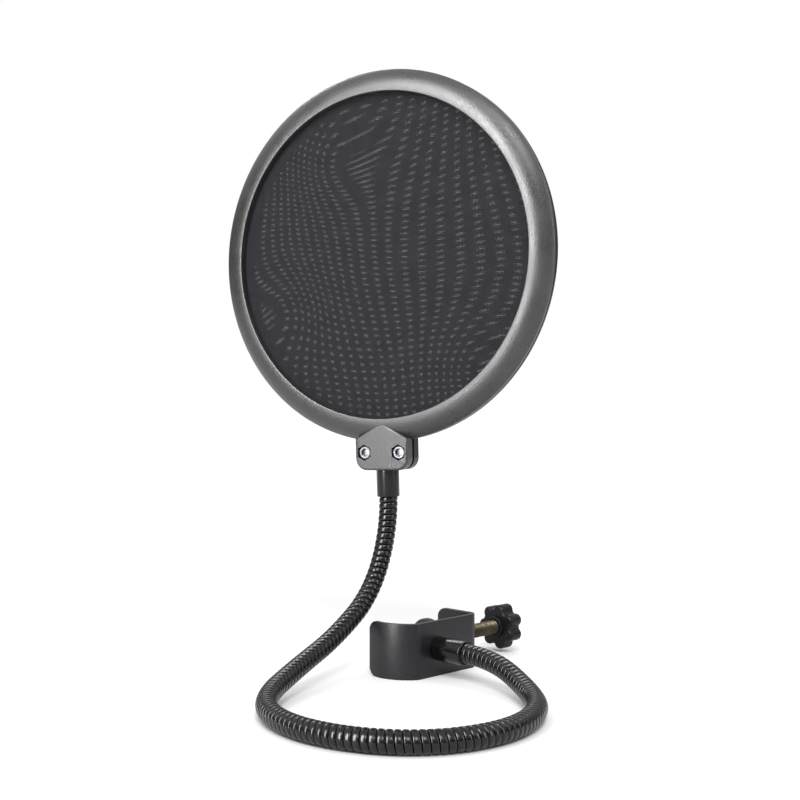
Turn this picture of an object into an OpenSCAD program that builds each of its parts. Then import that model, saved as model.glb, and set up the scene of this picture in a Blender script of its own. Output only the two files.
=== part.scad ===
// Pop filter on a flexible neck, with a screw clamp that stands on its own edge.
// The origin is on the clamp's lower edge, straight under the neck's socket.
// X runs along the clamp's back wall, Y points into the jaws and Z is up.

/* [Screen] */
// Outer radius of the screen ring
ring_r = 77.5; // [70:0.5:85]
// Radius of the opening that the mesh fills
opening_r = 67.75; // [60:0.25:68.5]
// Thickness of each half shell of the ring
shell_t = 5.5; // [5.5:0.1:7]
// Height of the shell's outer edge above the seam
rim_t = 1.6; // [1.2:0.1:3]
// Direction that the screen faces, about the upright axis
facing = 197; // [150:1:240]

/* [Tab] */
// Width of the tab below the ring
tab_w = 24.5; // [24:0.5:32]
// Drop of the tab below the ring
tab_drop = 11.7; // [11.5:0.1:16]
// Radius of the tab's lower corners
tab_corner_r = 5; // [2:0.5:6]
// Distance between the two tab screws
tab_screw_gap = 16; // [16:0.5:18]

/* [Neck] */
// Outer radius of the flexible neck
neck_r = 3.9; // [3.5:0.1:3.9]
// Length of one link of the neck
link_l = 28; // [26:0.5:30]
// Length of neck held inside each ferrule
tail_l = 12; // [8:0.5:12]
// Radius of the ferrule at the screen
upper_ferrule_r = 4.6; // [4.5:0.1:4.6]
// Length of the upper ferrule that shows below the tab
upper_ferrule_l = 10; // [6:0.5:14]
// Radius of the ferrule at the clamp
lower_ferrule_r = 4.75; // [4.6:0.05:5.5]
// Length of the lower ferrule
lower_ferrule_l = 15; // [15:0.5:20]

/* [Clamp] */
// Width of the steel strip, which is the clamp's height
strip_w = 22; // [20:0.5:26]
// Thickness of the steel strip
strip_t = 2; // [1.5:0.1:2.5]
// Back wall from the neck to the fixed jaw's bend
wall_left = 9.5; // [8:0.5:14]
// Back wall from the neck to the screw jaw's bend
wall_right = 20; // [16:0.5:24]
// Angle between the back wall's line and the screw jaw
jaw_turn = 90; // [75:1:95]
// Length of the screw jaw past its bend
screw_jaw_l = 17; // [16:0.5:24]
// Radius of the curved seat in the fixed jaw, at mid thickness
seat_r = 15; // [14:0.5:18]
// Angle that the curved seat covers
seat_turn = 60; // [50:1:70]

/* [Thumbscrew] */
// Radius of the threaded rod
rod_r = 3; // [2.5:0.1:3]
// Gap from the screw jaw to the knob
knob_gap = 26.6; // [22:0.1:30]
// Outer radius of the knob
knob_r = 9.75; // [8:0.25:10.5]
// Thickness of the knob
knob_t = 7.5; // [6:0.5:9]
// Number of grip lobes on the knob
knob_lobes = 7; // [5:1:9]
// Radius of the rubber pressure pad
pad_r = 9; // [7:0.5:9]
// Gap from the screw jaw's middle to the back of the pad's cup
pad_gap = 10.7; // [4:0.1:20]

/* [Hidden] */
$fn = 64;

// Heading and rise of the neck at each end of its links: it leaves the clamp
// level, sinks to the table, loops round and climbs to the screen, which leans a little.
route = [
    [-90, 0], [-110, -14], [-135, 0], [-165, 0], [-200, 0], [-240, 0], [-270, 0],
    [-300, 0], [-335, 10], [-345, 15], [-350, 30], [-350, 65], [-225, 88.5]
];
link_count = len(route) - 1;
ball_r = neck_r + 0.2;      // ball that ends each link
socket_r = ball_r + 0.3;    // hollow that the next link keeps around that ball
tail_r = neck_r - 0.1;      // the neck's ends are turned down to enter the ferrules
tail_root = 0.5;            // length of tail that starts inside its link
neck_fit = 0.05;            // radial room between the neck's tails and the ferrules
neck_z = strip_w / 2;
neck_start = [0, -strip_t / 2 - lower_ferrule_l, neck_z];

// Screen stack, measured from the seam between the two shells
mesh_t = 0.4;
mesh_z = 2.8;               // outer face of each mesh
hoop_t = 1.2;
hoop_z = mesh_z - mesh_t - hoop_t;
stack_r = ring_r - 2.1;     // radius of the space that holds the stack
hoop_in_r = opening_r + 0.45;
hoop_out_r = stack_r - 0.2;
lip_w = 1.25;               // flat lip beside the opening
seam_groove = 0.4;

// Domed face: a circle through the lip's edge and the rim's edge
dome_w = ring_r - opening_r - lip_w;
dome_h = shell_t - rim_t;
dome_r = (dome_w * dome_w + dome_h * dome_h) / (2 * dome_h);

// Tab and its M3 screws
tab_bottom = ring_r + tab_drop;
tab_top_y = opening_r + 2.5;
tab_shoulder_y = opening_r + 8.2;
tab_peak_w = 4;
tab_screw_y = ring_r + 4.3;
ferrule_depth = 8;
m3_r = 1.5;
m3_hole_r = 1.6;
m3_head_r = 2.8;
m3_head_t = 1.9;
m3_sink_r = 3;
m3_sink_t = 2.3;
nut_flats = 5.5;
nut_t = 2.4;
nut_pocket_flats = 6;
nut_pocket_t = 3;
screw_end_z = 4.3;

// Clamp bends and fasteners
strip_join = 0.2;           // length of each bend that enters what it joins
bend_inset = 0.01;          // a bend is this much smaller all round, so that it enters cleanly
bend_r = strip_t / 2 + 3;
jaw_corner_r = 4;
fixed_bend = 36;            // first, tight part of the fixed jaw's bend
fixed_lip_l = 5;
screw_hole_x = 9.2;         // along the screw jaw from the end of its bend
seat_angle = -90 - fixed_bend;
seat_centre = [
    -wall_left + (bend_r - seat_r) * cos(seat_angle),
    bend_r + (bend_r - seat_r) * sin(seat_angle),
    0
];
ferrule_floor = 3;
m5_r = 2.5;
m5_hole_r = 2.6;
m5_head_r = 4.4;
m5_head_t = 1.8;
washer_r = 5;
washer_t = 1;

// Thumbscrew fits
bush_r = 4.2;
bush_flange_r = 5.5;
bush_flange_t = 2;
rod_fit = 0.05;
tip_r = 2.2;
tip_l = 2.1;
cup_r = 7;
cup_t = 3;
pad_t = 2.6;
hub_r = 4.5;
hub_l = 1.5;
rod_in_knob = 6;
lobe_r = 2.7;
knob_face_z = strip_t / 2 + knob_gap;

// ---- Geometry of the neck's route ----

function unit(v) = v / norm(v);

function heading(i) =
    let (turn = route[i][0], rise = route[i][1])
    [cos(rise) * cos(turn), cos(rise) * sin(turn), sin(rise)];

function link_bend(i) = acos(heading(i) * heading(i + 1));

function link_bend_r(i) = link_l * 180 / (PI * link_bend(i));

// Direction towards which link i curves, square to its start
function link_inward(i) =
    unit(heading(i + 1) - cos(link_bend(i)) * heading(i));

function link_step(i) =
    let (a = link_bend(i))
    link_bend_r(i) * (sin(a) * heading(i) + (1 - cos(a)) * link_inward(i));

function link_start(i) = i == 0 ? neck_start : link_start(i - 1) + link_step(i - 1);

// Puts a bend that lies in the XY plane around Z onto link i
module on_link(i) {
    x = -link_inward(i);
    y = heading(i);
    z = cross(x, y);
    c = link_start(i) - link_bend_r(i) * x;
    multmatrix([
        [x[0], y[0], z[0], c[0]],
        [x[1], y[1], z[1], c[1]],
        [x[2], y[2], z[2], c[2]],
        [0, 0, 0, 1]
    ])
        children();
}

// Neck's upper end: Z along the neck into the screen's tab
module on_neck_end() {
    turn = route[link_count][0];
    rise = route[link_count][1];
    translate(link_start(link_count))
        rotate([0, 90 - rise, turn])
            rotate([0, 0, -turn])
                children();
}

// Ball at the start of link i's bend, with its poles on the neck's line
module neck_ball(i, r) {
    translate([link_bend_r(i), 0, 0]) rotate([-90, 0, 0]) sphere(r);
}

module gooseneck_link(i) {
    color([0.09, 0.09, 0.1])
        difference() {
            union() {
                on_link(i) {
                    rotate_extrude(angle = link_bend(i))
                        translate([link_bend_r(i), 0]) circle(neck_r);
                    if (i < link_count - 1)
                        rotate([0, 0, link_bend(i)]) neck_ball(i, ball_r);
                }
                if (i == 0)
                    translate(neck_start - [0, tail_root, 0])
                        rotate([-90, 0, 0]) cylinder(r = tail_r, h = tail_root + tail_l);
                if (i == link_count - 1)
                    on_neck_end()
                        translate([0, 0, -tail_root])
                            cylinder(r = tail_r, h = tail_root + tail_l);
            }
            if (i > 0)
                on_link(i) neck_ball(i, socket_r);
        }
}

// ---- Screen ----

// Screen's own plane: X across, Y up and Z out of its front, centred on the ring
module on_screen() {
    on_neck_end()
        translate([0, 0, upper_ferrule_l + tab_bottom])
            rotate([0, 0, facing - 270])
                rotate([90, 0, 0])
                    children();
}

module ring_section() {
    intersection() {
        translate([opening_r, 0]) square([ring_r - opening_r, shell_t]);
        union() {
            translate([opening_r, 0]) square([lip_w, shell_t]);
            translate([opening_r + lip_w, shell_t - dome_r]) circle(dome_r, $fn = 96);
        }
    }
}

module tab_outline() {
    foot_x = tab_w / 2 - tab_corner_r;
    foot_y = tab_bottom - tab_corner_r;
    polygon([
        [-tab_peak_w / 2, -tab_top_y], [tab_peak_w / 2, -tab_top_y],
        [tab_w / 2, -tab_shoulder_y], [tab_w / 2, -foot_y],
        [-tab_w / 2, -foot_y], [-tab_w / 2, -tab_shoulder_y]
    ]);
    translate([-foot_x, -tab_bottom]) square([2 * foot_x, tab_corner_r + 1]);
    for (side = [-1, 1])
        translate([side * foot_x, -foot_y]) circle(tab_corner_r);
}

module at_tab_screws() {
    for (side = [-1, 1])
        translate([side * tab_screw_gap / 2, -tab_screw_y, 0]) children();
}

// One half of the ring with its half of the tab, seam down on Z = 0
module ring_half() {
    difference() {
        union() {
            rotate_extrude($fn = 128) ring_section();
            linear_extrude(shell_t) tab_outline();
        }
        translate([0, 0, -1]) cylinder(r = stack_r, h = mesh_z + 1, $fn = 128);
        translate([0, -tab_bottom - 1, 0])
            rotate([-90, 0, 0]) cylinder(r = upper_ferrule_r, h = ferrule_depth + 1);
        at_tab_screws() translate([0, 0, -1]) cylinder(r = m3_hole_r, h = shell_t + 2);
    }
}

module hexagon(flats, h) {
    rotate([0, 0, 30]) cylinder(r = flats / (2 * cos(30)), h = h, $fn = 6);
}

module front_ring_shell() {
    color([0.33, 0.33, 0.33])
        on_screen()
            difference() {
                ring_half();
                at_tab_screws()
                    translate([0, 0, shell_t - nut_pocket_t]) hexagon(nut_pocket_flats, nut_pocket_t + 1);
            }
}

module rear_ring_shell() {
    color([0.24, 0.24, 0.24])
        on_screen()
            mirror([0, 0, 1])
                difference() {
                    ring_half();
                    rotate_extrude($fn = 128)
                        translate([ring_r - seam_groove, -1]) square([1, seam_groove + 1]);
                    at_tab_screws()
                        translate([0, 0, shell_t - m3_sink_t]) cylinder(r = m3_sink_r, h = m3_sink_t + 1);
                }
}

module mesh_disc() {
    translate([0, 0, mesh_z - mesh_t]) cylinder(r = hoop_out_r, h = mesh_t, $fn = 128);
}

module front_mesh() {
    color([0.22, 0.21, 0.24]) on_screen() mesh_disc();
}

module rear_mesh() {
    color([0.22, 0.21, 0.24]) on_screen() mirror([0, 0, 1]) mesh_disc();
}

module stack_hoop(z, t) {
    translate([0, 0, z])
        rotate_extrude($fn = 128)
            translate([hoop_in_r, 0]) square([hoop_out_r - hoop_in_r, t]);
}

module front_mesh_hoop() {
    color([0.16, 0.16, 0.17]) on_screen() stack_hoop(hoop_z, hoop_t);
}

module rear_mesh_hoop() {
    color([0.16, 0.16, 0.17]) on_screen() mirror([0, 0, 1]) stack_hoop(hoop_z, hoop_t);
}

module mesh_spacer_ring() {
    color([0.14, 0.14, 0.15]) on_screen() stack_hoop(-hoop_z, 2 * hoop_z);
}

module tab_screws() {
    head_z = -shell_t + m3_sink_t;
    color([0.75, 0.75, 0.77])
        on_screen()
            at_tab_screws() {
                translate([0, 0, head_z - m3_head_t])
                    difference() {
                        cylinder(r = m3_head_r, h = m3_head_t);
                        translate([0, 0, -0.1]) hexagon(2, 1.2);
                    }
                translate([0, 0, head_z]) cylinder(r = m3_r, h = screw_end_z - head_z);
            }
}

module tab_nuts() {
    color([0.75, 0.75, 0.77])
        on_screen()
            at_tab_screws()
                translate([0, 0, shell_t - nut_pocket_t])
                    difference() {
                        hexagon(nut_flats, nut_t);
                        translate([0, 0, -1]) cylinder(r = m3_r + neck_fit, h = nut_t + 2);
                    }
}

module upper_ferrule() {
    color([0.06, 0.06, 0.07])
        on_neck_end()
            difference() {
                cylinder(r = upper_ferrule_r, h = upper_ferrule_l + ferrule_depth);
                translate([0, 0, -1]) cylinder(r = tail_r + neck_fit, h = tail_l + 1);
            }
}

// ---- Clamp ----

// Strip bent around Z from the X axis, at mid-thickness radius r
module strip_bend(r, turn, inset = bend_inset) {
    join_turn = strip_join * 180 / (PI * r);
    rotate([0, 0, -join_turn])
        rotate_extrude(angle = turn + 2 * join_turn)
            translate([r - strip_t / 2 + inset, inset])
                square([strip_t - 2 * inset, strip_w - 2 * inset]);
}

// Flat end of the strip along X, with its two free corners rounded
module strip_end(l) {
    flat = l - jaw_corner_r;
    translate([0, strip_t / 2, 0])
        rotate([90, 0, 0])
            linear_extrude(strip_t) {
                square([flat, strip_w]);
                translate([0, jaw_corner_r]) square([l, strip_w - 2 * jaw_corner_r]);
                for (y = [jaw_corner_r, strip_w - jaw_corner_r])
                    translate([flat, y]) circle(jaw_corner_r);
            }
}

// Screw jaw: X along the jaw from its bend, Y into the jaws
module on_screw_jaw() {
    translate([wall_right, bend_r, 0])
        rotate([0, 0, jaw_turn])
            translate([0, -bend_r, 0])
                children();
}

// Thumbscrew: Z along its axis away from the jaws, from the jaw's mid thickness
module on_thumbscrew() {
    on_screw_jaw()
        translate([screw_hole_x, 0, strip_w / 2])
            rotate([90, 0, 0])
                children();
}

module clamp_bracket() {
    color([0.13, 0.13, 0.14])
        difference() {
            union() {
                translate([-wall_left, -strip_t / 2, 0])
                    cube([wall_left + wall_right, strip_t, strip_w]);
                translate([wall_right, bend_r, 0])
                    rotate([0, 0, -90]) strip_bend(bend_r, jaw_turn);
                on_screw_jaw() strip_end(screw_jaw_l);
                translate([-wall_left, bend_r, 0])
                    rotate([0, 0, seat_angle])
                        strip_bend(bend_r, fixed_bend, 2 * bend_inset);
                translate(seat_centre) rotate([0, 0, seat_angle - seat_turn]) {
                    strip_bend(seat_r, seat_turn);
                    translate([seat_r, 0, 0]) rotate([0, 0, -90]) strip_end(fixed_lip_l);
                }
            }
            translate([0, -strip_t, neck_z])
                rotate([-90, 0, 0]) cylinder(r = m5_hole_r, h = 2 * strip_t);
            on_thumbscrew() cylinder(r = bush_r, h = 2 * strip_t, center = true);
        }
}

// Along the neck's first stretch: Z away from the back wall's outer face
module on_socket() {
    translate([0, -strip_t / 2, neck_z]) rotate([90, 0, 0]) children();
}

module lower_ferrule() {
    color([0.06, 0.06, 0.07])
        on_socket()
            difference() {
                cylinder(r = lower_ferrule_r, h = lower_ferrule_l);
                translate([0, 0, ferrule_floor])
                    cylinder(r = tail_r + neck_fit, h = lower_ferrule_l);
                translate([0, 0, -1]) cylinder(r = m5_r + neck_fit, h = ferrule_floor + 2);
            }
}

module neck_screw() {
    head_z = -strip_t - washer_t;
    color([0.7, 0.7, 0.72])
        on_socket() {
            translate([0, 0, head_z]) cylinder(r = m5_r, h = ferrule_floor - head_z);
            translate([0, 0, head_z - m5_head_t])
                difference() {
                    cylinder(r = m5_head_r, h = m5_head_t);
                    translate([0, 0, -0.2]) hexagon(3, 1.4);
                }
        }
}

module neck_washer() {
    color([0.7, 0.7, 0.72])
        on_socket()
            translate([0, 0, -strip_t - washer_t])
                difference() {
                    cylinder(r = washer_r, h = washer_t);
                    translate([0, 0, -1]) cylinder(r = m5_hole_r, h = washer_t + 2);
                }
}

module screw_bush() {
    color([0.5, 0.5, 0.5])
        on_thumbscrew()
            difference() {
                union() {
                    translate([0, 0, -strip_t / 2]) cylinder(r = bush_r, h = strip_t);
                    translate([0, 0, -strip_t / 2 - bush_flange_t])
                        cylinder(r = bush_flange_r, h = bush_flange_t);
                }
                cylinder(r = rod_r + rod_fit, h = 4 * strip_t + bush_flange_t, center = true);
            }
}

module thumbscrew_rod() {
    color([0.66, 0.6, 0.42])
        on_thumbscrew() {
            translate([0, 0, -pad_gap])
                cylinder(r = rod_r, h = pad_gap + knob_face_z + rod_in_knob);
            translate([0, 0, -pad_gap - tip_l]) cylinder(r = tip_r, h = tip_l);
        }
}

module thumbscrew_knob() {
    color([0.08, 0.08, 0.08])
        on_thumbscrew()
            translate([0, 0, knob_face_z])
                difference() {
                    union() {
                        linear_extrude(knob_t) {
                            circle(knob_r - lobe_r * 0.75);
                            for (i = [0 : knob_lobes - 1])
                                rotate(i * 360 / knob_lobes)
                                    translate([knob_r - lobe_r, 0]) circle(lobe_r);
                        }
                        translate([0, 0, -hub_l]) cylinder(r = hub_r, h = hub_l + 1);
                    }
                    translate([0, 0, -hub_l - 1]) cylinder(r = rod_r, h = hub_l + 1 + rod_in_knob);
                }
}

module swivel_cup() {
    color([0.12, 0.12, 0.13])
        on_thumbscrew()
            translate([0, 0, -pad_gap - rod_fit - cup_t])
                difference() {
                    cylinder(r = cup_r, h = cup_t);
                    translate([0, 0, cup_t - tip_l])
                        cylinder(r = tip_r + rod_fit, h = tip_l + 1);
                }
}

module pressure_pad() {
    color([0.07, 0.07, 0.07])
        on_thumbscrew()
            translate([0, 0, -pad_gap - rod_fit - cup_t - pad_t]) cylinder(r = pad_r, h = pad_t);
}

front_ring_shell();
rear_ring_shell();
front_mesh();
rear_mesh();
front_mesh_hoop();
rear_mesh_hoop();
mesh_spacer_ring();
tab_screws();
tab_nuts();
upper_ferrule();
for (i = [1 : link_count])
    gooseneck_link(i - 1);
lower_ferrule();
neck_screw();
neck_washer();
clamp_bracket();
screw_bush();
thumbscrew_rod();
thumbscrew_knob();
swivel_cup();
pressure_pad();
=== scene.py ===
import math

import bmesh
import bpy
import numpy as np
from mathutils import Matrix, Vector


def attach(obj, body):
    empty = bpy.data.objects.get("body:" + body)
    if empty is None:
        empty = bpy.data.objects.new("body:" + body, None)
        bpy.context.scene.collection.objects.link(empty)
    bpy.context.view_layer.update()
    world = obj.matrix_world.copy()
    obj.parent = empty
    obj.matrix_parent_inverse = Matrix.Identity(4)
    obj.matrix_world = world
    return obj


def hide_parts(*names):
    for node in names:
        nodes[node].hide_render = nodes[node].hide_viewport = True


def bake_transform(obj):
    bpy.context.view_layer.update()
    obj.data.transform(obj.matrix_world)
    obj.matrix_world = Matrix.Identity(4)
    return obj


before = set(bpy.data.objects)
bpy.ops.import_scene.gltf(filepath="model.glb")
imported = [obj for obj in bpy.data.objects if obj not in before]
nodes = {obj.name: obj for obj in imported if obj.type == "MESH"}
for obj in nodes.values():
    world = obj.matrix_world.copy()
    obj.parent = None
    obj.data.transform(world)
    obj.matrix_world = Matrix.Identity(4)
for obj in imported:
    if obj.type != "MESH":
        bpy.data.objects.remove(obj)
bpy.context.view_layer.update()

scene = bpy.context.scene
MM = 0.001              # scene.py works in mm, and dress() turns each piece to metres

# ---------------------------------------------------------------- frames

# The neck's route, as in part.scad: heading and rise in degrees at each end of its links
ROUTE = [
    (-90, 0), (-110, -14), (-135, 0), (-165, 0), (-200, 0), (-240, 0), (-270, 0),
    (-300, 0), (-335, 10), (-345, 15), (-350, 30), (-350, 65), (-225, 88.5),
]
LINK = 28.0
NECK_START = np.array([0.0, -16.0, 11.0])

# Driving sizes in mm and degrees, as in part.scad
RING_R, OPENING_R, SHELL_T = 77.5, 67.75, 5.5
FACING = 197
TAB_W, TAB_DROP, TAB_CORNER_R, TAB_SCREW_GAP = 24.5, 11.7, 5.0, 16.0
TAB_TOP, TAB_SHOULDER, TAB_BOTTOM = OPENING_R + 2.5, OPENING_R + 8.2, RING_R + TAB_DROP
TAB_PEAK_W, TAB_SCREW_Y = 4.0, RING_R + 4.3
UPPER_FERRULE_L = 10.0
STRIP_T, STRIP_W = 2.0, 22.0
WALL_LEFT, WALL_RIGHT, BEND_R = 9.5, 20.0, 4.0
JAW_TURN, SCREW_JAW_L, SCREW_HOLE = 90, 17.0, 9.2
KNOB_FACE, PAD_GAP, PAD_R = 27.6, 10.7, 9.0


def heading(i):
    """The neck's direction at point i of its route."""
    turn, rise = (math.radians(a) for a in ROUTE[i])
    return np.array([
        math.cos(rise) * math.cos(turn), math.cos(rise) * math.sin(turn), math.sin(rise)
    ])


def unit(v):
    """A vector of length 1."""
    return v / np.linalg.norm(v)


def neck_links():
    """Start point, heading, inward direction and bend radius of each link, and the neck's end."""
    links, point = [], NECK_START
    for i in range(len(ROUTE) - 1):
        h, g = heading(i), heading(i + 1)
        bend = math.acos(float(h @ g))
        radius = LINK / bend
        inward = unit(g - math.cos(bend) * h)
        links.append((point, h, inward, radius))
        point = point + radius * (math.sin(bend) * h + (1 - math.cos(bend)) * inward)
    return links, point


LINKS, NECK_END = neck_links()
NECK_LENGTH = LINK * len(LINKS)


def neck_at(s):
    """Point and heading of the neck's centreline, s mm from the clamp's ferrule."""
    if s <= 0:
        return NECK_START + s * LINKS[0][1], LINKS[0][1]
    if s >= NECK_LENGTH:
        up = heading(len(ROUTE) - 1)
        return NECK_END + (s - NECK_LENGTH) * up, up
    start, h, inward, radius = LINKS[int(s // LINK)]
    a = (s % LINK) / radius
    centre = start + radius * (math.sin(a) * h + (1 - math.cos(a)) * inward)
    return centre, math.cos(a) * h + math.sin(a) * inward


def turned(degrees, axis):
    """A turn about one axis, as a matrix."""
    return Matrix.Rotation(math.radians(degrees), 4, axis)


end_turn, end_rise = ROUTE[-1]
UPPER = (
    Matrix.Translation(NECK_END)
    @ turned(end_turn, "Z") @ turned(90 - end_rise, "Y") @ turned(-end_turn, "Z")
)
SCREEN = (
    UPPER @ Matrix.Translation((0, 0, UPPER_FERRULE_L + RING_R + TAB_DROP))
    @ turned(FACING - 270, "Z") @ turned(90, "X")
)
JAW = (
    Matrix.Translation((WALL_RIGHT, BEND_R, 0))
    @ turned(JAW_TURN, "Z") @ Matrix.Translation((0, -BEND_R, 0))
)
THUMBSCREW = JAW @ Matrix.Translation((SCREW_HOLE, 0, STRIP_W / 2)) @ turned(90, "X")
SOCKET = Matrix.Translation((0, -STRIP_T / 2, STRIP_W / 2)) @ turned(90, "X")

# ---------------------------------------------------------------- mesh code

FLAT_AREA = 20.0        # mm2; a larger face is one flat side
SAME_POINT = 1e-4       # mm; corners nearer than this are one corner
SLIVER = 2e-4           # mm; edges shorter than this are dissolved


def build(name, verts, faces, at=None, sharp=35, weld=False):
    """A mesh object from points in mm, smooth apart from edges over sharp degrees."""
    mesh = bpy.data.meshes.new(name)
    mesh.from_pydata([tuple(v) for v in verts], [], faces)
    mesh.transform(at or Matrix.Identity(4))
    obj = bpy.data.objects.new(name, mesh)
    scene.collection.objects.link(obj)
    smooth(obj, sharp, weld)
    return obj


def smooth(obj, sharp=35, weld=False):
    """Turns a mesh's faces outwards, shades them and drops its loose edges."""
    bm = bmesh.new()
    bm.from_mesh(obj.data)
    if weld:
        bmesh.ops.remove_doubles(bm, verts=bm.verts, dist=SAME_POINT)
    bmesh.ops.recalc_face_normals(bm, faces=bm.faces)
    limit = math.radians(sharp)
    for f in bm.faces:
        f.smooth = f.calc_area() < FLAT_AREA
    for e in bm.edges:
        e.smooth = e.calc_face_angle(0.0) < limit
    loose = [e for e in bm.edges if not e.link_faces]
    bmesh.ops.delete(bm, geom=loose, context="EDGES")
    bm.to_mesh(obj.data)
    bm.free()


def grid(rows, columns, close_rows=False, close_columns=True):
    """Faces of a grid of points held row by row."""
    faces = []
    for r in range(rows if close_rows else rows - 1):
        for c in range(columns if close_columns else columns - 1):
            a, b = r * columns + c, r * columns + (c + 1) % columns
            d = (r + 1) % rows * columns
            faces.append((a, b, d + (c + 1) % columns, d + c))
    return faces


def rounded(points, steps=4):
    """A closed outline of (x, y, corner radius) points with its corners rounded."""
    out = []
    count = len(points)
    for i in range(count):
        p = np.array(points[i][:2], float)
        r = points[i][2] if len(points[i]) > 2 else 0
        if r <= 0:
            out.append(p)
            continue
        a = unit(np.array(points[i - 1][:2], float) - p)
        b = unit(np.array(points[(i + 1) % count][:2], float) - p)
        half = math.acos(max(-1.0, min(1.0, float(a @ b)))) / 2
        reach = r / math.tan(half)
        centre = p + unit(a + b) * (r / math.sin(half))
        p0, p1 = p + a * reach - centre, p + b * reach - centre
        turn = math.atan2(p0[0] * p1[1] - p0[1] * p1[0], float(p0 @ p1))
        for k in range(steps + 1):
            t = turn * k / steps
            c, s = math.cos(t), math.sin(t)
            out.append(centre + np.array([c * p0[0] - s * p0[1], s * p0[0] + c * p0[1]]))
    return out


def lathe(name, profile, at, count=96, sharp=35):
    """A closed (radius, height) outline turned round the frame's Z axis."""
    verts = []
    for k in range(count):
        a = 2 * math.pi * k / count
        verts += [(r * math.cos(a), r * math.sin(a), z) for r, z in profile]
    return build(name, verts, grid(count, len(profile), True, True), at, sharp, weld=True)


def prism(name, outline, levels, at, sharp=35):
    """An outline lofted through levels of (height, inset), capped at both ends."""
    line = np.array(outline, float)
    step = np.roll(line, -1, 0) - np.roll(line, 1, 0)
    normal = np.stack([step[:, 1], -step[:, 0]], 1)
    normal /= np.linalg.norm(normal, axis=1)[:, None]
    verts = []
    for z, inset in levels:
        verts += [(x, y, z) for x, y in line - inset * normal]
    n, rows = len(line), len(levels)
    faces = grid(rows, n)
    faces.append(tuple(range(n))[::-1])
    faces.append(tuple(range((rows - 1) * n, rows * n)))
    return build(name, verts, faces, at, sharp)


def edge_levels(low, high, radius, steps=3):
    """Levels for prism() that round both of its rims."""
    turns = [math.pi / 2 * k / steps for k in range(steps + 1)]
    rim = [(radius * (1 - math.sin(t)), radius * (1 - math.cos(t))) for t in turns]
    return [(low + drop, inset) for drop, inset in rim[::-1]] + [
        (high - drop, inset) for drop, inset in rim
    ]


def combine(obj, others, operation):
    """Applies booleans of obj with other objects, which are then removed."""
    for other in others:
        mod = obj.modifiers.new("cut", "BOOLEAN")
        mod.object, mod.operation, mod.solver = other, operation, "EXACT"
    bpy.context.view_layer.update()
    done = bpy.data.meshes.new_from_object(
        obj.evaluated_get(bpy.context.evaluated_depsgraph_get())
    )
    obj.modifiers.clear()
    obj.data = done
    for other in others:
        bpy.data.objects.remove(other)
    smooth(obj)
    return obj


def circle(radius, count=48, centre=(0, 0)):
    """Points of a circle."""
    return [
        (centre[0] + radius * math.cos(2 * math.pi * k / count),
         centre[1] + radius * math.sin(2 * math.pi * k / count))
        for k in range(count)
    ]


def hexagon(flats, centre=(0, 0), per_side=1):
    """Points of a hexagon with its flats so far apart, and so many points on each side."""
    r = flats / math.sqrt(3)
    corners = [
        np.array([centre[0] + r * math.cos(math.radians(30 + 60 * k)),
                  centre[1] + r * math.sin(math.radians(30 + 60 * k))])
        for k in range(6)
    ]
    return [
        corners[k] + (corners[(k + 1) % 6] - corners[k]) * j / per_side
        for k in range(6) for j in range(per_side)
    ]


# ---------------------------------------------------------------- materials


class Nodes:
    """Short calls for one material's nodes."""

    def __init__(self, name, **shader):
        self.material = bpy.data.materials.new(name)
        self.material.use_nodes = True
        self.tree = self.material.node_tree
        self.shader = self.tree.nodes["Principled BSDF"]
        for key, value in shader.items():
            self.shader.inputs[key.replace("_", " ")].default_value = value

    def add(self, kind, links=None, **props):
        """A new node, with links or values for its inputs and its own settings."""
        node = self.tree.nodes.new("ShaderNode" + kind)
        for key, value in props.items():
            setattr(node, key, value)
        for key, value in (links or {}).items():
            self.put(node.inputs[key], value)
        return node

    def put(self, socket, value):
        """Links a socket to another, or sets its value."""
        if isinstance(value, bpy.types.NodeSocket):
            self.tree.links.new(value, socket)
        else:
            socket.default_value = value

    def math(self, operation, a, b=0.0):
        """Arithmetic on two values."""
        return self.add("Math", {0: a, 1: b}, operation=operation).outputs[0]

    def noise(self, size_mm, detail=2.0, rough=0.5):
        """Noise fixed to the piece, with features of about size_mm."""
        place = self.add("TexCoord").outputs["Object"]
        return self.add("TexNoise", {
            "Vector": place, "Scale": 1 / (size_mm * MM), "Detail": detail, "Roughness": rough
        }).outputs[0]

    def ramp(self, value, low, high, a, b):
        """Maps low..high of value to a..b."""
        return self.add("MapRange", {
            "Value": value, "From Min": low, "From Max": high, "To Min": a, "To Max": b
        }).outputs[0]

    def mix(self, share, a, b):
        """Colour a, with a share of colour b."""
        return self.add("Mix", {0: share, 6: a, 7: b}, data_type="RGBA").outputs[2]

    def bump(self, height, depth_mm):
        """The normal of a relief so deep."""
        return self.add(
            "Bump", {"Height": height, "Distance": depth_mm * MM, "Strength": 1.0}
        ).outputs[0]

    def edges(self, low=0.58, high=0.75):
        """0 on flats and 1 on the outside edges of the shape."""
        point_of = self.add("NewGeometry").outputs["Pointiness"]
        return self.ramp(point_of, low, high, 0.0, 1.0)

    def done(self, colour, roughness, normal=None, alpha=None):
        """Links the shader's inputs, and gives the material."""
        for key, value in (
            ("Base Color", colour), ("Roughness", roughness), ("Normal", normal), ("Alpha", alpha)
        ):
            if value is not None:
                self.put(self.shader.inputs[key], value)
        return self.material


def grey(r, g=None, b=None):
    """A colour from one grey value, or from three channels."""
    return (r, r if g is None else g, r if b is None else b, 1.0)


# Sizes of the patterns in the materials, in mm
CLOUD_MM, RUB_MM = 14.0, 3.0
WIPE_MM, DUST_MM, RIPPLE_MM = 9.0, 0.22, 0.8
PATCH_MM, DRAWN_MM = 2.2, 0.16
FIBRE_MM, SLUB_MM = 0.09, 5.0


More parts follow.
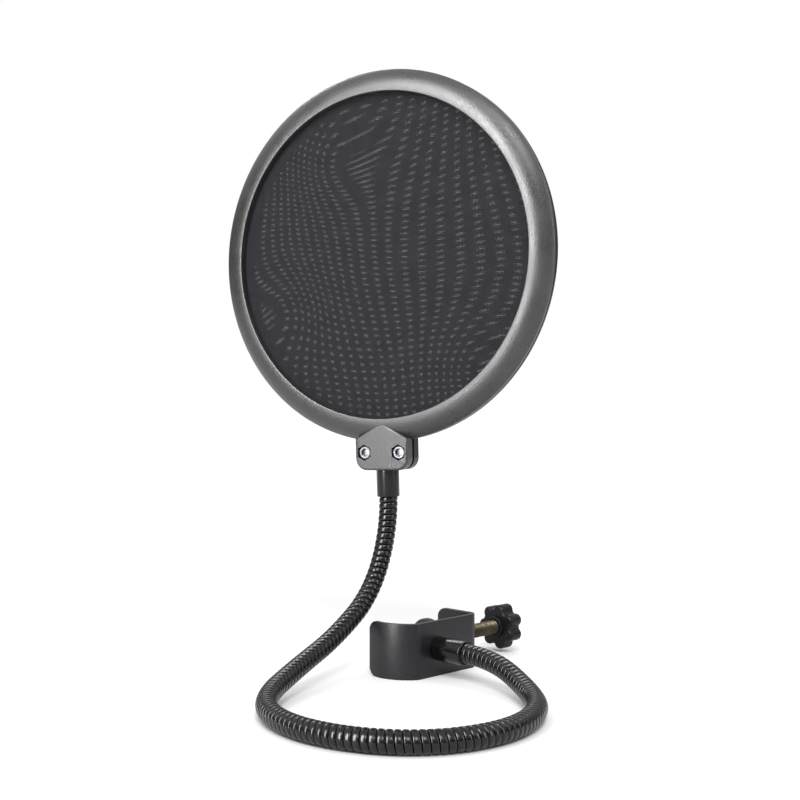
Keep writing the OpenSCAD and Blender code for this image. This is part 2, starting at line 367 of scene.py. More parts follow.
def grained(name, dark, light, rough, grain_mm, bump_mm, worn, **shader):
    """Moulded plastic or cast paint: fine grain, cloudy sheen and rubbed edges."""
    n = Nodes(name, **shader)
    fine = n.noise(grain_mm, 3.0, 0.6)
    cloud = n.noise(CLOUD_MM, 3.0, 0.55)
    tone = n.math("ADD", n.ramp(fine, 0.3, 0.7, 0.0, 0.72), n.ramp(cloud, 0.3, 0.7, 0.0, 0.28))
    colour = n.mix(tone, dark, light)
    rub = n.math("MULTIPLY", n.edges(), n.ramp(n.noise(RUB_MM, 4.0, 0.7), 0.42, 0.62, 0.0, 1.0))
    colour = n.mix(rub, colour, worn)
    roughness = n.math(
        "ADD",
        n.ramp(cloud, 0.3, 0.7, rough - 0.05, rough + 0.05),
        n.ramp(fine, 0.3, 0.7, -0.09, 0.09),
    )
    return n.done(colour, roughness, n.bump(fine, bump_mm))


def glossy(name, base, rough, worn, **shader):
    """Gloss black plating or enamel with faint wipe marks and dust."""
    n = Nodes(name, **shader)
    wipe = n.noise(WIPE_MM, 4.0, 0.6)
    dust = n.ramp(n.noise(DUST_MM), 0.66, 0.78, 0.0, 1.0)
    wiped = tuple(c * 1.8 for c in base[:3]) + (1.0,)
    colour = n.mix(n.ramp(wipe, 0.3, 0.7, 0.0, 1.0), base, wiped)
    colour = n.mix(n.math("MULTIPLY", n.edges(0.55, 0.68), 0.6), colour, worn)
    roughness = n.math(
        "ADD", n.ramp(wipe, 0.35, 0.7, rough, rough + 0.1), n.math("MULTIPLY", dust, 0.25)
    )
    return n.done(colour, roughness, n.bump(n.noise(RIPPLE_MM), 0.012))


def metal(name, base, stain, rough, **shader):
    """Plated steel with a drawn grain and dull patches."""
    n = Nodes(name, Metallic=1.0, **shader)
    patch = n.noise(PATCH_MM, 4.0, 0.65)
    fine = n.noise(DRAWN_MM)
    colour = n.mix(n.ramp(patch, 0.4, 0.68, 0.0, 0.8), base, stain)
    roughness = n.math(
        "ADD",
        n.ramp(patch, 0.3, 0.7, rough - 0.06, rough + 0.12),
        n.ramp(fine, 0.3, 0.7, -0.04, 0.04),
    )
    return n.done(colour, roughness, n.bump(fine, 0.012))


def net(name, thread_mm, threads_per_mm, dark, light):
    """Fine woven nylon, open between its threads, on the piece's own weave map in mm, with painted
    shade and painted highlight on its threads.
    """
    n = Nodes(name, **{
        "Sheen Weight": 0.03, "Sheen Roughness": 0.4, "Specular IOR Level": 0.18
    })
    uv = n.add("UVMap", uv_map="weave").outputs[0]
    split = n.add("SeparateXYZ", {0: uv})
    half = thread_mm * threads_per_mm / 2
    cells, ridges, on = [], [], []
    for axis in (0, 1):
        count = n.math("MULTIPLY", split.outputs[axis], threads_per_mm)
        away = n.math("ABSOLUTE", n.math("SUBTRACT", n.math("FRACT", count), 0.5))
        cells.append(n.math("FLOOR", count))
        ridges.append(n.ramp(away, 0.0, half, 1.0, 0.0))
        on.append(n.math("LESS_THAN", away, half))
    over = n.math("MODULO", n.math("ABSOLUTE", n.math("ADD", cells[0], cells[1])), 2.0)
    alpha = n.math("MAXIMUM", on[0], on[1])
    warp = n.math("MULTIPLY", ridges[0], n.ramp(over, 0.0, 1.0, 0.7, 1.0))
    weft = n.math("MULTIPLY", ridges[1], n.ramp(over, 0.0, 1.0, 1.0, 0.7))
    height = n.math("MAXIMUM", warp, weft)
    fibre = n.noise(FIBRE_MM)
    # Painted shade and highlight: each thread is light along its crest, dark towards its edges, and
    # darker where it dips under the crossing thread
    colour = n.mix(n.math("MULTIPLY", height, n.ramp(fibre, 0.3, 0.7, 0.55, 1.0)), dark, light)
    slub = n.ramp(n.noise(SLUB_MM, 3.0, 0.6), 0.3, 0.7, 0.62, 0.8)
    return n.done(colour, slub, n.bump(height, 0.08), alpha)


FRONT_SHELL = grained(
    "satin_grey_front", grey(0.008), grey(0.036, 0.036, 0.035), 0.35, 0.5, 0.09,
    grey(0.07), Specular_IOR_Level=0.7,
)
REAR_SHELL = grained(
    "satin_grey_rear", grey(0.004), grey(0.012), 0.38, 0.5, 0.04, grey(0.04), Specular_IOR_Level=0.3
)
HOOP_PLASTIC = grained("hoop_plastic", grey(0.008), grey(0.02), 0.5, 0.3, 0.02, grey(0.04))
BRACKET = grained(
    "bracket_enamel", grey(0.003, 0.003, 0.0042), grey(0.008, 0.008, 0.012), 0.42, 0.7, 0.014,
    grey(0.06, 0.058, 0.056), Specular_IOR_Level=0.38,
)
KNOB = grained(
    "knob_plastic", grey(0.002), grey(0.006), 0.42, 0.3, 0.03, grey(0.025), Specular_IOR_Level=0.2
)
RUBBER = grained("pad_rubber", grey(0.006), grey(0.016), 0.72, 0.5, 0.05, grey(0.02))
GLOSS = glossy("gooseneck_black", grey(0.003), 0.19, grey(0.02), Specular_IOR_Level=0.34)
FERRULE = glossy("ferrule_black", grey(0.003), 0.16, grey(0.03), Specular_IOR_Level=0.3)
HARDWARE = metal("bright_zinc", grey(0.24, 0.245, 0.26), grey(0.1, 0.102, 0.106), 0.3)
ROD = metal("yellow_zinc", (0.095, 0.083, 0.057, 1), (0.04, 0.034, 0.022, 1), 0.42)
BUSH = metal("bush_steel", grey(0.12), grey(0.05), 0.4)
CUP = metal("cup_steel", grey(0.05), grey(0.02), 0.35)
WEAVE_MM = 0.62         # from thread to thread
# Each net's dark and light colours are the painted shade and painted highlight of its threads
NET = net(
    "fine_net", 0.43, 1 / WEAVE_MM, (0.006, 0.0054, 0.0085, 1), (0.023, 0.0215, 0.0295, 1)
)
NET_BACK = net(
    "fine_net_back", 0.45, 1 / WEAVE_MM, (0.006, 0.0055, 0.0085, 1), (0.02, 0.0187, 0.026, 1)
)


def dress(obj, material):
    """Cleans a finished piece, turns it from mm to metres and gives it its finish."""
    bm = bmesh.new()
    bm.from_mesh(obj.data)
    bmesh.ops.triangulate(bm, faces=[f for f in bm.faces if len(f.verts) > 4])
    bmesh.ops.dissolve_degenerate(bm, dist=SLIVER, edges=bm.edges)
    bm.to_mesh(obj.data)
    bm.free()
    obj.data.transform(Matrix.Scale(MM, 4))
    paint(obj, material)
    return obj


def paint(obj, material):
    """Gives an object one material."""
    obj.data.materials.clear()
    obj.data.materials.append(material)


# ---------------------------------------------------------------- screen ring

TAB_OUTLINE = rounded([
    (-TAB_PEAK_W / 2, -TAB_TOP), (-TAB_W / 2, -TAB_SHOULDER),
    (-TAB_W / 2, -TAB_BOTTOM, TAB_CORNER_R), (TAB_W / 2, -TAB_BOTTOM, TAB_CORNER_R),
    (TAB_W / 2, -TAB_SHOULDER), (TAB_PEAK_W / 2, -TAB_TOP),
], 8)
TAB_LOW, TAB_HIGH = 0.004, 5.494    # just inside the shell's faces, so that no two coincide
TAB_EDGE, TAB_EDGE_STEPS = 0.8, 3
SCREW_AT = [(side * TAB_SCREW_GAP / 2, -TAB_SCREW_Y) for side in (-1, 1)]
ROOM_R, ROOM_H = 75.4, 2.8          # the room inside a half shell for its hoop and spacer
LIP_R = 69.0                        # where the lip ends and the dome starts
DOME_W, DOME_H, DOME_STEPS = 8.5, 3.9, 22
DOME_R = (DOME_W ** 2 + DOME_H ** 2) / (2 * DOME_H)
RIM_R, RIM_H = 77.45, 1.6           # the rim's radius, and the height where the dome meets it
RING_STEPS = 288
FERRULE_BORE_R, FERRULE_BORE_Y, FERRULE_BORE_L = 4.62, 81.2, 10
SCREW_HOLE_R, SINK_R, SINK_FLOOR = 1.6, 3.0, 3.2
POCKET_FLATS, POCKET_FLOOR = 6.0, 2.5
PAST_FACE = 7                       # height of the cutters that go out through a shell's face


def ring_profile(rear):
    """Section of one half shell, as a closed outline of radius and height over the seam."""
    lip = rounded([
        (ROOM_R, ROOM_H), (OPENING_R, ROOM_H), (OPENING_R, SHELL_T, 0.4), (LIP_R, SHELL_T)
    ], 5)
    edge = math.asin(DOME_W / DOME_R)
    dome = [
        (LIP_R + DOME_R * math.sin(edge * k / DOME_STEPS),
         SHELL_T - DOME_R * (1 - math.cos(edge * k / DOME_STEPS)))
        for k in range(1, DOME_STEPS)
    ]
    rim = rounded([dome[-1], (RIM_R, RIM_H, 0.55), (RIM_R, 0.0), (ROOM_R, 0.0)], 5)
    rim = [p for p in rim if p[1] > 0.6]
    if rear:        # a groove that shows as the dark seam
        base = [(RIM_R, 0.5), (RIM_R - 0.1, 0.4), (RIM_R - 0.4, 0.4), (RIM_R - 0.4, 0.0)]
    else:           # a small chamfer
        base = [(RIM_R, 0.25), (RIM_R - 0.25, 0.0)]
    return lip + dome[:-1] + rim[1:] + base + [(ROOM_R, 0.0)]


def half_shell(name, rear):
    """One half of the ring with its half of the tab, seam down on Z = 0 of its frame."""
    at = SCREEN @ Matrix.Diagonal((1, 1, -1 if rear else 1, 1))
    shell = lathe(name, ring_profile(rear), at, RING_STEPS, 28)
    # Only the outer rim is rounded: the tab starts TAB_EDGE over the seam, which leaves a gap
    levels = edge_levels(TAB_LOW, TAB_HIGH, TAB_EDGE, TAB_EDGE_STEPS)[TAB_EDGE_STEPS:]
    tab = prism("tab", TAB_OUTLINE, levels, at)
    room_r, room_h = ROOM_R + 0.01, ROOM_H + 0.01
    room = [(0.0, -1.0), (room_r, -1.0), (room_r, room_h), (0.0, room_h)]
    tab = combine(tab, [lathe("room", room, at, RING_STEPS)], "DIFFERENCE")
    shell = combine(shell, [tab], "UNION")
    bore_at = at @ Matrix.Translation((0, -FERRULE_BORE_Y, 0)) @ turned(90, "X")
    cutters = [prism("bore", circle(FERRULE_BORE_R, 64), [(0, 0), (FERRULE_BORE_L, 0)], bore_at)]
    for x, y in SCREW_AT:
        hole = circle(SCREW_HOLE_R, 32, (x, y))
        cutters.append(prism("hole", hole, [(-1, 0), (PAST_FACE, 0)], at))
        if rear:
            sink, floor_z = circle(SINK_R, 48, (x, y)), SINK_FLOOR
        else:
            sink, floor_z = hexagon(POCKET_FLATS, (x, y)), POCKET_FLOOR
        cutters.append(prism("sink", sink, [(floor_z, 0), (PAST_FACE, 0)], at))
    return combine(shell, cutters, "DIFFERENCE")


for name, rear, material, slot in (
    ("ring_front_moulded", False, FRONT_SHELL, "front_shell_plastic"),
    ("ring_rear_moulded", True, REAR_SHELL, "rear_shell_plastic"),
):
    shell = dress(half_shell(name, rear), material)
    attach(shell, "screen")
    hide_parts("rear_ring_shell" if rear else "front_ring_shell")

# ---------------------------------------------------------------- screen mesh

NET_R, NET_Z = 75.0, 2.6    # radius, and height over the seam of the two halves
NET_RINGS, NET_SPOKES = 60, 144
HELD_R = 67.0               # the net is flat outside this radius, where its hoop holds it
RIPPLE = 0.12


def net_disc(name, z, warp):
    """A stretched disc of net. warp maps a point on it to its place in the weave, in mm."""
    verts, weave = [], []
    for r in range(NET_RINGS + 1):
        radius = NET_R * r / NET_RINGS
        for k in range(NET_SPOKES):
            a = 2 * math.pi * k / NET_SPOKES
            x, y = radius * math.cos(a), radius * math.sin(a)
            fade = max(0.0, 1 - (radius / HELD_R) ** 4)
            verts.append((x, y, z + RIPPLE * fade * math.sin(x / 19 + y / 47) * math.cos(y / 23)))
            weave.append(warp(x, y))
    obj = build(name, verts, grid(NET_RINGS + 1, NET_SPOKES), SCREEN)
    layer = obj.data.uv_layers.new(name="weave")
    for loop in obj.data.loops:
        layer.data[loop.index].uv = weave[loop.vertex_index]
    bm = bmesh.new()
    bm.from_mesh(obj.data)
    bmesh.ops.remove_doubles(bm, verts=bm.verts, dist=SAME_POINT)
    bm.to_mesh(obj.data)
    bm.free()
    return obj


def front_weave(x, y):
    """The front net's weave: nearly even, with slow waves from stretching it by hand."""
    return (x + 0.4 * math.sin(y / 24 + x / 50), y + 0.5 * math.sin(x / 19 + 0.6))


# Places where the rear net is pulled: centre, reach and pull in mm
PULLS = [(-26, 44, 21, 2.4), (-50, -20, 19, -2.1), (40, -48, 17, 1.5)]


def rear_weave(x, y):
    """The rear net's weave: tighter than the front's, waved and pulled, for the moire."""
    u = 1.095 * x + 0.5 * math.sin(y / 20 + 0.7 - x / 44) + 0.5 * math.cos(x / 23 + y / 38)
    v = 1.22 * y + 1.0 * math.sin(x / 17 + 1.1) + 0.5 * math.sin(y / 16 + x / 31)
    for across, up, reach, pull in PULLS:
        pulled = pull * math.exp(-((x - across) ** 2 + (y - up) ** 2) / reach ** 2)
        u, v = u + pulled, v + 0.8 * pulled
    return (u, v)


for name, z, warp, material, node in (
    ("net_front", NET_Z, front_weave, NET, "front_mesh"),
    ("net_rear", -NET_Z, rear_weave, NET_BACK, "rear_mesh"),
):
    disc = dress(net_disc(name, z, warp), material)
    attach(disc, "screen")
    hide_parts(node)

for node in ("front_mesh_hoop", "rear_mesh_hoop", "mesh_spacer_ring"):
    paint(nodes[node], HOOP_PLASTIC)

# ---------------------------------------------------------------- tab hardware

NUT_FLATS, NUT_LOW, NUT_HIGH = 5.5, 2.5, 4.9
# A double cone over the nut's two faces, which takes its corners off
NUT_CONE = [(0.0, 2.4), (2.72, 2.4), (3.3, 2.72), (3.3, 4.1), (2.3, 4.95), (0.0, 4.95)]
NUT_BORE = [(0.0, 2.0), (1.55, 2.0), (1.55, 4.5), (1.8, 5.2), (0.0, 5.2)]
SCREW_PROFILE = rounded([
    (0.0, -5.1), (2.8, -5.1, 0.35), (2.8, -3.2, 0.1), (1.5, -3.2), (1.5, 3.6, 0.3), (0.0, 3.6)
], 4)
KEY_FLATS, KEY_LOW, KEY_HIGH = 2.0, -6, -4.0


def joined(name, objects):
    """Several objects as one piece."""
    mesh = bpy.data.meshes.new(name)
    bm = bmesh.new()
    for o in objects:
        bm.from_mesh(o.data)
        bpy.data.objects.remove(o)
    bm.to_mesh(mesh)
    bm.free()
    obj = bpy.data.objects.new(name, mesh)
    scene.collection.objects.link(obj)
    return obj


nuts, screws = [], []
for x, y in SCREW_AT:
    at = SCREEN @ Matrix.Translation((x, y, 0))
    nut = prism("nut", hexagon(NUT_FLATS, per_side=6), [(NUT_LOW, 0), (NUT_HIGH, 0)], at)
    nut = combine(nut, [lathe("chamfer", NUT_CONE, at, 96)], "INTERSECT")
    nuts.append(combine(nut, [lathe("bore", NUT_BORE, at, 48)], "DIFFERENCE"))
    screw = lathe("screw", SCREW_PROFILE, at, 64)
    key = prism("key", hexagon(KEY_FLATS), [(KEY_LOW, 0), (KEY_HIGH, 0)], at)
    screws.append(combine(screw, [key], "DIFFERENCE"))
for name, parts, node in (("nuts_zinc", nuts, "tab_nuts"), ("screws_zinc", screws, "tab_screws")):
    piece = dress(joined(name, parts), HARDWARE)
    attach(piece, "screen")
    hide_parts(node)

# ---------------------------------------------------------------- neck

PITCH = 2.6             # of the wound wire
WIRE_STEPS = 48         # points in one turn
WIRE = [                # section of the wire: place along the pitch, and radius in mm
    (0.01, 3.36), (0.04, 3.52), (0.09, 3.7), (0.18, 3.83), (0.32, 3.885), (0.5, 3.9), (0.68, 3.885),
    (0.82, 3.83), (0.91, 3.7), (0.96, 3.52), (0.99, 3.36), (0.99, 2.9), (0.01, 2.9),
]


TAIL = 11.0             # length of the neck inside each ferrule
MARGIN = 14             # neck_frames() reaches this far past both ends
PER_MM = 4


def neck_frames():
    """Side directions along the neck that don't twist, every quarter millimetre."""
    side = np.array([1.0, 0.0, 0.0])
    out = {}
    for k in range(-MARGIN * PER_MM, int((NECK_LENGTH + MARGIN) * PER_MM) + 1):
        _, h = neck_at(k / PER_MM)
        side = unit(side - (side @ h) * h)
        out[k] = side
    return out


SIDES = neck_frames()


def neck_point(s, angle, radius):
    """A point of the wire, s mm along the neck and round it by an angle."""
    centre, h = neck_at(s)
    k = s * PER_MM
    low = math.floor(k)
    side = SIDES[low] * (1 - k + low) + SIDES[low + 1] * (k - low)
    side = unit(side - (side @ h) * h)
    return centre + radius * (math.cos(angle) * side + math.sin(angle) * np.cross(h, side))


def wound(name, first, last):
    """Turns of the wound wire from turn number first to last."""
    verts = []
    count = round((last - first) * WIRE_STEPS)
    for k in range(count + 1):
        turn = first + k / WIRE_STEPS
        for across, radius in WIRE:
            s = (turn + across - 0.5) * PITCH
            verts.append(neck_point(s, 2 * math.pi * turn, radius))
    n = len(WIRE)
    faces = grid(count + 1, n)
    faces += [tuple(range(n))[::-1], tuple(range(count * n, (count + 1) * n))]
    return build(name, verts, faces, None, 50)


# Each piece of wire goes from the middle of one link to the middle of the next
middles = [LINK * (k + 0.5) for k in range(len(LINKS))]
cuts = [-TAIL] + middles + [NECK_LENGTH + TAIL]
turns = [round(s / PITCH * 4) / 4 for s in cuts]    # in whole quarter turns
for k in range(len(cuts) - 1):
    piece = dress(wound(f"neck_wire_{k + 1}", turns[k], turns[k + 1]), GLOSS)
    if k == 0:
        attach(piece, "clamp")
        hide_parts("gooseneck_1")
    elif k == len(cuts) - 2:
        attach(piece, "screen")
        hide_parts(f"gooseneck_{k}")
    else:
        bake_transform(piece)
        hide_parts(f"gooseneck_{k}", f"gooseneck_{k + 1}")

FERRULE_R, FERRULE_INSIDE = 4.75, 3.95
upper = rounded([
    (FERRULE_R, -1.2, 0.45), (FERRULE_R, 18, 0.3), (1.0, 18), (1.0, 12.2),
    (FERRULE_INSIDE, 12.2), (FERRULE_INSIDE, -1.2, 0.2),
], 4)
lower = rounded([
    (FERRULE_R, 0.0, 0.3), (FERRULE_R, 15, 0.5), (FERRULE_INSIDE, 15, 0.2),
    (FERRULE_INSIDE, 3.0), (2.6, 3.0), (2.6, 0.0),
], 4)
for name, profile, at, body, node in (
    ("ferrule_at_screen", upper, UPPER, "screen", "upper_ferrule"),
    ("ferrule_at_clamp", lower, SOCKET, "clamp", "lower_ferrule"),
):
    piece = dress(lathe(name, profile, at, 96), FERRULE)
    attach(piece, body)
    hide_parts(node)

# ---------------------------------------------------------------- clamp

# The fixed jaw: a bend out of the back wall, a wide curve and a straight tip
FIXED_BEND, JAW_SWEEP_R, JAW_SWEEP, JAW_TIP_L = 36, 15, 60, 5
BACK_STEPS = 51
CORNER, ROUND = 4.0, 0.35       # radius of the strip's corners, and of its long edges
STEP = 0.5                      # between points along the strip
END_STATIONS = [0.0, 0.03, 0.1, 0.2, 0.35]      # closer points, where an end is rounded


def walk(start, turn, moves):
    """Points and headings every half millimetre or so along straights and bends."""
    p, a = np.array(start, float), math.radians(turn)
    out = [(p.copy(), a)]
    for length, bend in moves:
        steps = max(2, round(length / STEP))
        for _ in range(steps):
            half = math.radians(bend) / steps / 2
            a += half
            p = p + length / steps * np.array([math.cos(a), math.sin(a)])
            a += half
            out.append((p.copy(), a))
    return out


def arc(radius, angle):
    """A move for walk() round a bend, angle in degrees and positive to the left."""
    return radius * math.radians(abs(angle)), angle


def strip_line():
    """Points and headings of the strip's middle line, from the screw jaw to the fixed jaw."""
    jaw = walk((WALL_RIGHT, 0), 0, [arc(BEND_R, JAW_TURN), (SCREW_JAW_L, 0)])
    back = np.linspace(WALL_RIGHT, -WALL_LEFT, BACK_STEPS + 1)[1:-1]
    line = [(p, a + math.pi) for p, a in jaw[::-1]]
    line += [(np.array([x, 0.0]), math.pi) for x in back]
    return line + walk((-WALL_LEFT, 0), 180, [
        arc(BEND_R, -FIXED_BEND), arc(JAW_SWEEP_R, -JAW_SWEEP), (JAW_TIP_L, 0)
    ])


def strip_section(end):
    """The strip's rounded section, end mm from its nearer end."""
    back = max(0.0, CORNER - end)
    half_w = STRIP_W / 2 - (CORNER - math.sqrt(max(0.0, CORNER ** 2 - back ** 2)))
    lost = ROUND - math.sqrt(max(0.0, ROUND ** 2 - max(0.0, ROUND - end) ** 2))
    half_t, half_w = STRIP_T / 2 - lost, half_w - lost
    return rounded([
        (-half_t, -half_w, ROUND), (half_t, -half_w, ROUND),
        (half_t, half_w, ROUND), (-half_t, half_w, ROUND),
    ], 4)


def bent_strip(name):
    """The bent steel strip, before its holes."""
    line = strip_line()
    away = [0.0]
    for (p, _), (q, _) in zip(line, line[1:]):
        away.append(away[-1] + float(np.linalg.norm(q - p)))
    total = away[-1]
    stations = sorted(set(
        [round(x, 4) for x in away if STEP < x < total - STEP]
        + END_STATIONS + [total - x for x in END_STATIONS]
    ))
    verts = []
    for s in stations:
        k = min(max(int(np.searchsorted(away, s)) - 1, 0), len(away) - 2)
        f = (s - away[k]) / (away[k + 1] - away[k])
        p = line[k][0] * (1 - f) + line[k + 1][0] * f
        a = line[k][1] * (1 - f) + line[k + 1][1] * f
        side = np.array([-math.sin(a), math.cos(a)])
        for x, z in strip_section(min(s, total - s)):
            q = p + side * x
            verts.append((q[0], q[1], STRIP_W / 2 + z))
    rows = len(stations)
    n = len(verts) // rows
    faces = grid(rows, n) + [tuple(range(n))[::-1], tuple(range((rows - 1) * n, rows * n))]
    return build(name, verts, faces, None, 40)


bracket = combine(bent_strip("bracket_strip"), [
    prism("socket_hole", circle(2.6, 48), [(-4, 0), (2, 0)], SOCKET),
    prism("bush_hole", circle(4.2, 64), [(-3, 0), (3, 0)], THUMBSCREW),
], "DIFFERENCE")
dress(bracket, BRACKET)
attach(bracket, "clamp")
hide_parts("clamp_bracket")

for node, material in (("neck_screw", HARDWARE), ("neck_washer", HARDWARE), ("screw_bush", BUSH)):
    paint(nodes[node], material)

# ---------------------------------------------------------------- thumbscrew

# Section of the thread: place along its 1 mm pitch, and radius in mm
THREAD = [(0.0, 2.99), (0.12, 2.99), (0.38, 2.52), (0.5, 2.45), (0.62, 2.52), (0.88, 2.99)]
ROD_LOW, ROD_HIGH, AROUND = -PAD_GAP, KNOB_FACE + 4.5, 40
PLAIN_R, RUN_OUT = 2.5, 1.2     # the rod's plain ends, and how far the thread fades to them


def threaded_rod(name):
    """A single-start thread of 1 mm pitch, run out to plain ends."""
    verts = []
    m = len(THREAD)
    rows = int((ROD_HIGH - ROD_LOW) * m) + 1
    for j in range(rows):
        for k in range(AROUND):
            z = ROD_LOW + j / m + (k / AROUND - 0.5)
            z += THREAD[j % m][0] - (j % m) / m
            ends = min(z - ROD_LOW, ROD_HIGH - z)
            fade = min(1.0, max(0.0, ends / RUN_OUT))
            r = PLAIN_R + (THREAD[j % m][1] - PLAIN_R) * fade
            z = min(max(z, ROD_LOW), ROD_HIGH)
            a = 2 * math.pi * k / AROUND
            verts.append((r * math.cos(a), r * math.sin(a), z))
    faces = []
    for j in range(rows - 1):
        for k in range(AROUND):
            # The last column meets the first one a whole pitch further up
            up, k2 = (m, 0) if k == AROUND - 1 else (0, k + 1)
            if j + 1 + up < rows:
                low, high = (j + up) * AROUND + k2, (j + 1 + up) * AROUND + k2
                faces.append((j * AROUND + k, low, high, (j + 1) * AROUND + k))
    rod = build(name, verts, faces, THUMBSCREW, 40, weld=True)
    bm = bmesh.new()
    bm.from_mesh(rod.data)
    bmesh.ops.dissolve_degenerate(bm, dist=SAME_POINT, edges=bm.edges)
    bmesh.ops.holes_fill(bm, edges=[e for e in bm.edges if e.is_boundary], sides=0)
    bmesh.ops.recalc_face_normals(bm, faces=bm.faces)
    bm.to_mesh(rod.data)
    bm.free()
    return rod


# The rod's plain tip, which turns in the cup
tip = lathe("tip", rounded([
    (0.0, -12.8), (2.2, -12.8, 0.4), (2.2, -10.5), (0.0, -10.5)
], 3), THUMBSCREW, 48)
rod = dress(joined("thumbscrew_thread", [threaded_rod("thread"), tip]), ROD)
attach(rod, "thumbscrew")
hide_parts("thumbscrew_rod")

KNOB_R, LOBES, LOBE_R, KNOB_T = 9.75, 7, 2.7, 7.5
KNOB_TOP = KNOB_FACE + KNOB_T
VALLEY_SMOOTHINGS = 9


def knob_outline(count=420):
    """The lobed grip, with its valleys smoothed."""
    lobe_at = KNOB_R - LOBE_R
    reach = []
    for k in range(count):
        a = 2 * math.pi * k / count
        r = KNOB_R - LOBE_R * 0.75
        for i in range(LOBES):
            b = a - 2 * math.pi * i / LOBES
            d = lobe_at * math.sin(b)
            if abs(d) < LOBE_R and math.cos(b) > 0:
                r = max(r, lobe_at * math.cos(b) + math.sqrt(LOBE_R ** 2 - d * d))
        reach.append(r)
    reach = np.array(reach)
    for _ in range(VALLEY_SMOOTHINGS):
        reach = (np.roll(reach, 1) + reach * 2 + np.roll(reach, -1)) / 4
    reach *= KNOB_R / reach.max()
    return [
        (r * math.cos(2 * math.pi * k / count), r * math.sin(2 * math.pi * k / count))
        for k, r in enumerate(reach)
    ]


grip = prism("knob_grip", knob_outline(), edge_levels(KNOB_FACE, KNOB_TOP, 1.3, 6), THUMBSCREW)
hub = lathe("hub", rounded([
    (0.0, KNOB_FACE - 1.5), (4.5, KNOB_FACE - 1.5, 0.4), (4.5, KNOB_FACE + 1), (0.0, KNOB_FACE + 1)
], 4), THUMBSCREW, 72)
grip = combine(grip, [hub], "UNION")
dish = lathe("dish", rounded([
    (0.0, KNOB_TOP + 1), (6.4, KNOB_TOP + 1), (5.6, KNOB_TOP - 0.9, 0.4),
    (3.4, KNOB_TOP - 0.9, 0.3), (3.0, KNOB_TOP - 0.3, 0.2), (0.0, KNOB_TOP - 0.3),
], 4), THUMBSCREW, 72)
bore = prism("knob_bore", circle(3.0, 48), [(KNOB_FACE - 3, 0), (KNOB_FACE + 5.9, 0)], THUMBSCREW)
grip = combine(grip, [dish, bore], "DIFFERENCE")
grip.name = "knob_moulded"
dress(grip, KNOB)
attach(grip, "thumbscrew")
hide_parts("thumbscrew_knob")

CUP_BACK = -10.75               # along the thumbscrew, whose Z points to the knob
CUP_FRONT, PAD_FACE = CUP_BACK - 3.0, CUP_BACK - 5.6
GROOVES_AT, GROOVE_DEPTH = (2.0, 4.0, 6.0), 0.35
cup = lathe("cup_turned", rounded([
    (0.0, CUP_BACK - 2.1), (2.25, CUP_BACK - 2.1), (2.25, CUP_BACK, 0.1), (3.6, CUP_BACK, 0.3),
    (7.0, CUP_BACK - 1.6, 0.5), (7.0, CUP_FRONT, 0.2), (0.0, CUP_FRONT),
], 5), THUMBSCREW, 96)
dress(cup, CUP)
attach(cup, "pad")
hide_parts("swivel_cup")
groove_floor = PAD_FACE + GROOVE_DEPTH
grooves = []
for r in GROOVES_AT:
    grooves += [
        (r - 0.45, PAD_FACE), (r - 0.25, groove_floor),
        (r + 0.25, groove_floor), (r + 0.45, PAD_FACE),
    ]
pad = lathe("pad_rubber_disc", rounded(
    [(0.0, CUP_FRONT), (0.0, PAD_FACE)] + grooves
    + [(PAD_R, PAD_FACE, 0.6), (PAD_R, CUP_FRONT, 0.5)], 5
), THUMBSCREW, 120)
dress(pad, RUBBER)
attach(pad, "pad")
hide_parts("pressure_pad")

# ---------------------------------------------------------------- stage, light, camera

# From here on lengths are in metres
FLOOR_RINGS, FLOOR_SPOKES = [0.0, 0.3, 0.8, 2.0, 6.0], 64
FLOOR_PATCH_MM = 400.0
floor_points = [(x, y, 0) for r in FLOOR_RINGS for x, y in circle(r, FLOOR_SPOKES)]
floor_faces = grid(len(FLOOR_RINGS), FLOOR_SPOKES)
floor = build("floor", floor_points, floor_faces, weld=True)
f = Nodes("pale_floor", Specular_IOR_Level=0.2)
floor_patch = f.noise(FLOOR_PATCH_MM)
paint(floor, f.done(
    f.mix(floor_patch, grey(0.93), grey(0.96)), f.ramp(floor_patch, 0.3, 0.7, 0.55, 0.65)
))

# A white room that is dark near the horizon, for the reflections, and white to the camera
world = bpy.data.worlds.new("studio")
scene.world = world
world.use_nodes = True
tree = world.node_tree
sky = tree.nodes["Background"]
coord = tree.nodes.new("ShaderNodeTexCoord")
axes = tree.nodes.new("ShaderNodeSeparateXYZ")
fall = tree.nodes.new("ShaderNodeMapRange")
fall.interpolation_type = "SMOOTHSTEP"
for key, value in (("From Min", 0.1), ("From Max", 0.6), ("To Min", 0.10), ("To Max", 1.15)):
    fall.inputs[key].default_value = value
seen = tree.nodes.new("ShaderNodeLightPath")
backdrop = tree.nodes.new("ShaderNodeMix")
backdrop.data_type = "FLOAT"
backdrop.inputs[3].default_value = 1.0
sky.inputs["Color"].default_value = (1, 1, 1, 1)
for output, socket in (
    (coord.outputs["Generated"], axes.inputs[0]), (axes.outputs["Z"], fall.inputs["Value"]),
    (seen.outputs["Is Camera Ray"], backdrop.inputs[0]), (fall.outputs[0], backdrop.inputs[2]),
    (backdrop.outputs[0], sky.inputs["Strength"]),
):
    tree.links.new(output, socket)

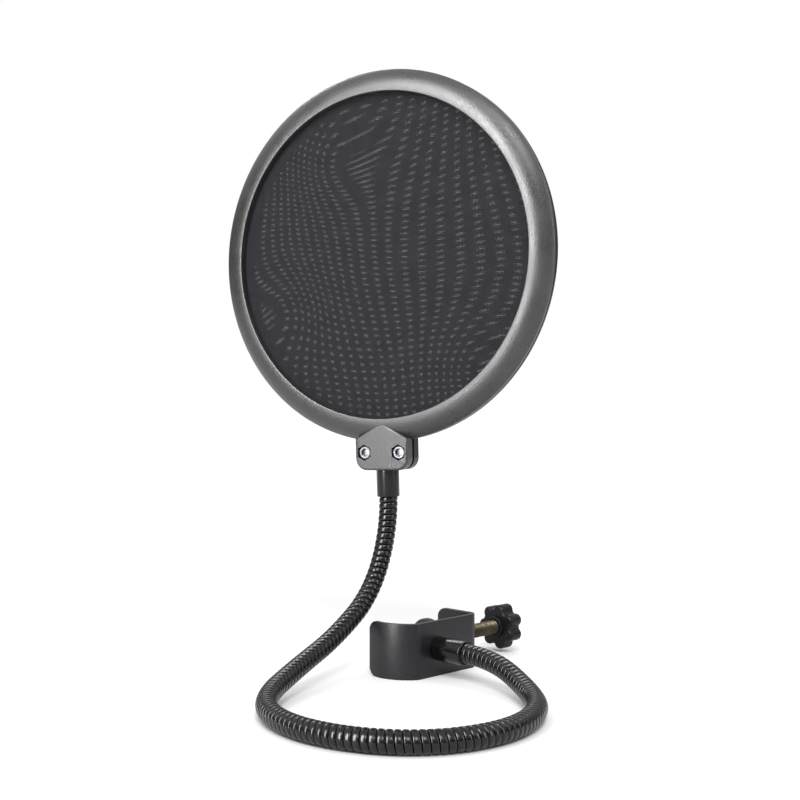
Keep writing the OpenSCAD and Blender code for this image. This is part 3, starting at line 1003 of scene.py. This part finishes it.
LOOK = np.array([math.sqrt(0.5), math.sqrt(0.5), 0.0])
RIGHT = np.array([math.sqrt(0.5), -math.sqrt(0.5), 0.0])
UP = np.array([0.0, 0.0, 1.0])
MIDDLE = np.array([-0.02, -0.01, 0.12])


def soft_light(name, side, rise, away, size, power, fill=True):
    """A box light, side degrees right of the camera's line and rise degrees over it.

    Without fill it only makes highlights.
    """
    data = bpy.data.lights.new(name, "AREA")
    data.shape, data.size, data.size_y, data.energy = "RECTANGLE", size[0], size[1], power
    lamp = bpy.data.objects.new(name, data)
    scene.collection.objects.link(lamp)
    side, rise = math.radians(side), math.radians(rise)
    level = RIGHT * math.sin(side) - LOOK * math.cos(side)
    lamp.location = MIDDLE + away * (level * math.cos(rise) + UP * math.sin(rise))
    lamp.rotation_mode = "QUATERNION"
    lamp.rotation_quaternion = (Vector(MIDDLE) - lamp.location).to_track_quat("-Z", "Y")
    lamp.visible_diffuse = fill


SUN_WAY = -0.05 * RIGHT - 0.72 * UP + 0.69 * LOOK      # the way that the key light shines
sun_data = bpy.data.lights.new("key", "SUN")
sun_data.energy, sun_data.angle = 1.4, math.radians(20)
sun = bpy.data.objects.new("key", sun_data)
scene.collection.objects.link(sun)
sun.rotation_mode = "QUATERNION"
sun.rotation_quaternion = Vector(SUN_WAY).to_track_quat("-Z", "Y")
soft_light("key_box", -45, 19, 1.1, (0.27, 0.95), 27, fill=False)
soft_light("key_fill", -45, 40, 1.3, (0.5, 0.5), 3)
soft_light("right_strip", 66, 16, 1.2, (0.07, 0.8), 4, fill=False)
soft_light("back", -170, 40, 1.6, (0.9, 0.25), 6, fill=False)

camera_data = bpy.data.cameras.new("camera")
camera_data.sensor_width = 36
camera_data.lens = 55
camera_data.clip_start, camera_data.clip_end = 0.02, 40
camera = bpy.data.objects.new("camera", camera_data)
scene.collection.objects.link(camera)
camera.location = (-0.3554, -0.3349, 0.110)
camera.rotation_mode = "QUATERNION"
camera.rotation_quaternion = Vector(LOOK).to_track_quat("-Z", "Y")
scene.camera = camera
scene.view_settings.view_transform = "Standard"
